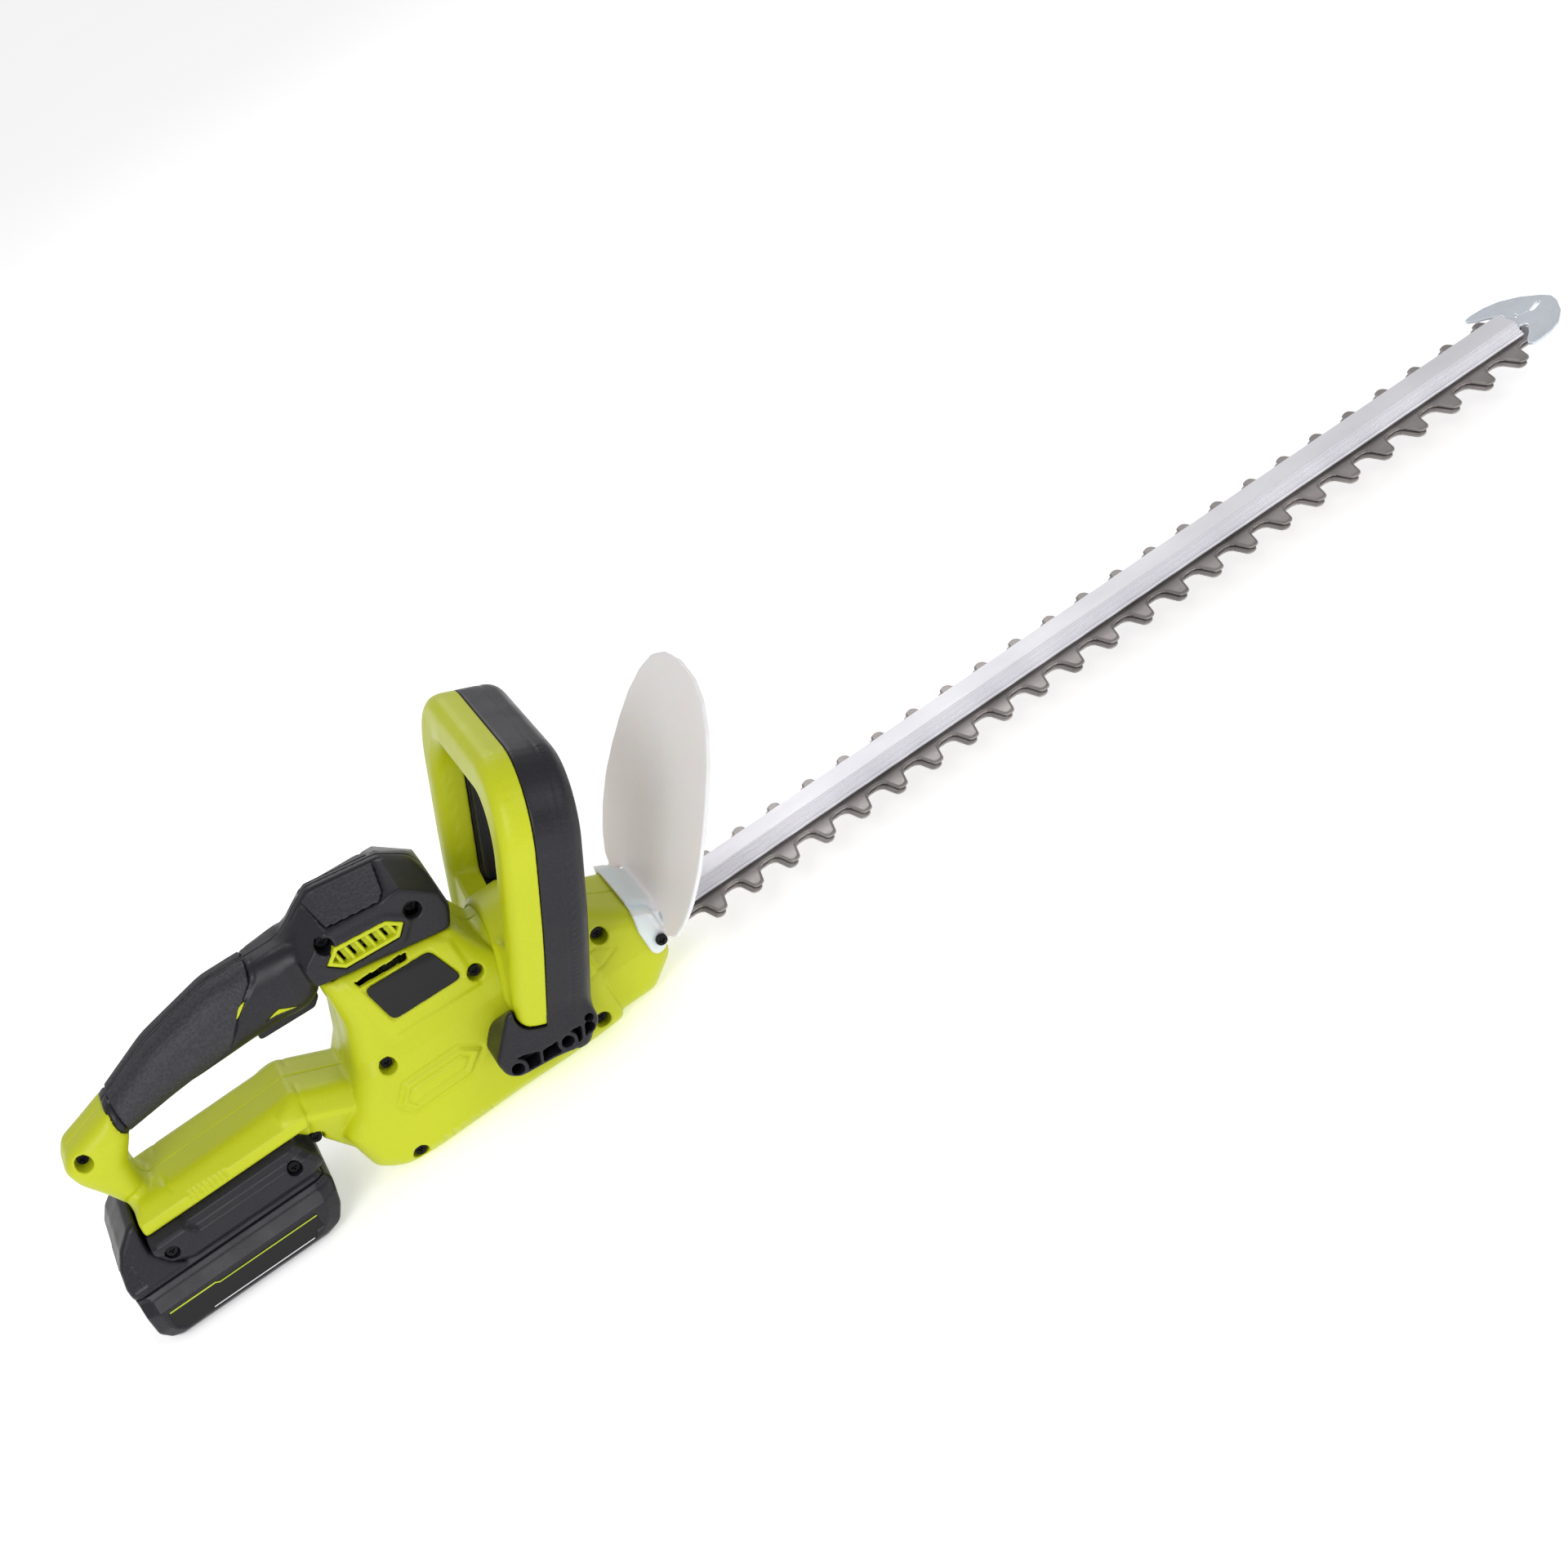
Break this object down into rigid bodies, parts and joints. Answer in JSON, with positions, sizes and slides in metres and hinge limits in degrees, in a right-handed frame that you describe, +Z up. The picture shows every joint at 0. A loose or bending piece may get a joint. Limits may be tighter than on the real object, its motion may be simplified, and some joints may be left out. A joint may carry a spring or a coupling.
{
  "type": "cordless hedge trimmer",
  "caption": "Cordless hedge trimmer with a reciprocating double-sided blade, rear D-handle with trigger, front loop handle with lever, clear hand guard and slide-on battery.",
  "frame": {"origin": "middle of the battery's base, which the tool rests on", "axes": "+X towards the blade tip, +Z up, -Y on the side with the rating plate"},
  "size_m": [0.87, 0.154, 0.171],
  "materials": {
    "lime_plastic": "satin moulded plastic",
    "black_plastic": "fine-grained moulded plastic",
    "soft_grip": "textured soft grip",
    "plate_black": "plain printed plate",
    "steel": "ground blade steel",
    "bright_steel": "turned steel",
    "black_steel": "black oxide screws",
    "cover_aluminium": "extruded and anodised",
    "cast_alloy": "die cast",
    "zinc_steel": "zinc plated",
    "guard_plastic": "milky translucent",
    "cell_wrap": "wrapped battery cells",
    "board_green": "coated circuit board",
    "magnet": "ferrite",
    "copper": "wound copper and iron",
    "bronze": "bearing bronze",
    "white_plastic": "moulded fan"
  },
  "bodies": {
    "tool": {"housing_left": "lime_plastic", "housing_right": "lime_plastic", "grip_left": "black_plastic", "grip_right": "black_plastic", "grip_pads": "soft_grip", "vent_grilles": "lime_plastic", "rating_plate": "plate_black", "loop_rear_shell": "lime_plastic", "loop_front_shell": "black_plastic", "lever_springs": "bright_steel", "front_switch": "black_plastic", "trigger_spring": "bright_steel", "trigger_switch": "black_plastic", "trigger_pin": "bright_steel", "dock": "black_plastic", "dock_terminals": "copper", "motor_can": "bright_steel", "motor_cap": "black_plastic", "motor_magnets": "magnet", "gear_case": "cast_alloy", "gear_base": "cast_alloy", "crank_bearing": "bright_steel", "crank_bush": "bronze", "blade_bar": "cover_aluminium", "blade_bolts": "bright_steel", "blade_bushes": "bright_steel", "blade_nuts": "bright_steel", "bar_screws": "bright_steel", "tip_guard": "zinc_steel", "hand_guard": "guard_plastic", "guard_screws": "black_steel", "housing_screws": "black_steel", "loop_screws": "black_steel", "dock_screws": "black_steel", "gear_case_screws": "bright_steel", "control_board": "board_green"},
    "battery": {"battery_lower": "black_plastic", "battery_upper": "black_plastic", "battery_panels": "plate_black", "battery_cells": "cell_wrap", "battery_board": "board_green", "battery_contacts": "copper", "latch_spring": "bright_steel"},
    "latch": {"battery_latch": "black_plastic"},
    "rotor": {"armature": "copper", "motor_shaft": "bright_steel", "motor_fan": "white_plastic", "pinion": "bright_steel"},
    "crank": {"crank_gear": "bright_steel", "crank_shaft": "bright_steel", "upper_eccentric": "bright_steel", "lower_eccentric": "bright_steel"},
    "blade_top": {"upper_blade": "steel"},
    "blade_bottom": {"lower_blade": "steel"},
    "trigger": {"trigger": "black_plastic"},
    "lever": {"front_lever": "black_plastic"}
  },
  "joints": [
    {"name": "battery_slide", "type": "slide", "parent": "tool", "child": "battery", "axis": [-1, 0, 0], "range_m": [0, 0.09]},
    {"name": "latch_press", "type": "slide", "parent": "battery", "child": "latch", "axis": [1, 0, 0], "range_m": [0, 0.003], "stiffness_N_per_m": 600, "springref_m": -0.003, "deforming": ["latch_spring"]},
    {"name": "rotor_spin", "type": "hinge", "parent": "tool", "child": "rotor", "pos_m": [0.13665, 0, 0.08], "axis": [0, 0, 1], "continuous": true},
    {"name": "crank_spin", "type": "hinge", "parent": "tool", "child": "crank", "pos_m": [0.1668, 0, 0.03], "axis": [0, 0, 1], "continuous": true},
    {"name": "blade_top_slide", "type": "slide", "parent": "tool", "child": "blade_top", "axis": [1, 0, 0], "range_m": [-0.0064, 0.0044]},
    {"name": "blade_bottom_slide", "type": "slide", "parent": "tool", "child": "blade_bottom", "axis": [1, 0, 0], "range_m": [-0.0044, 0.0064]},
    {"name": "trigger_pull", "type": "hinge", "parent": "tool", "child": "trigger", "pos_m": [0.094, 0, 0.104], "axis": [0, 1, 0], "range_deg": [0, 9], "stiffness_Nm_per_rad": 0.6, "springref_deg": -6.88, "deforming": ["trigger_spring"]},
    {"name": "lever_press", "type": "slide", "parent": "tool", "child": "lever", "axis": [0.3987, 0, 0.9171], "range_m": [0, 0.004], "stiffness_N_per_m": 900, "springref_m": -0.004, "deforming": ["lever_springs"]}
  ],
  "couplings": [
    {"joint": "crank_spin", "follows": "rotor_spin", "ratio": -0.2},
    {"joint": "blade_bottom_slide", "follows": "blade_top_slide", "ratio": -1}
  ]
}
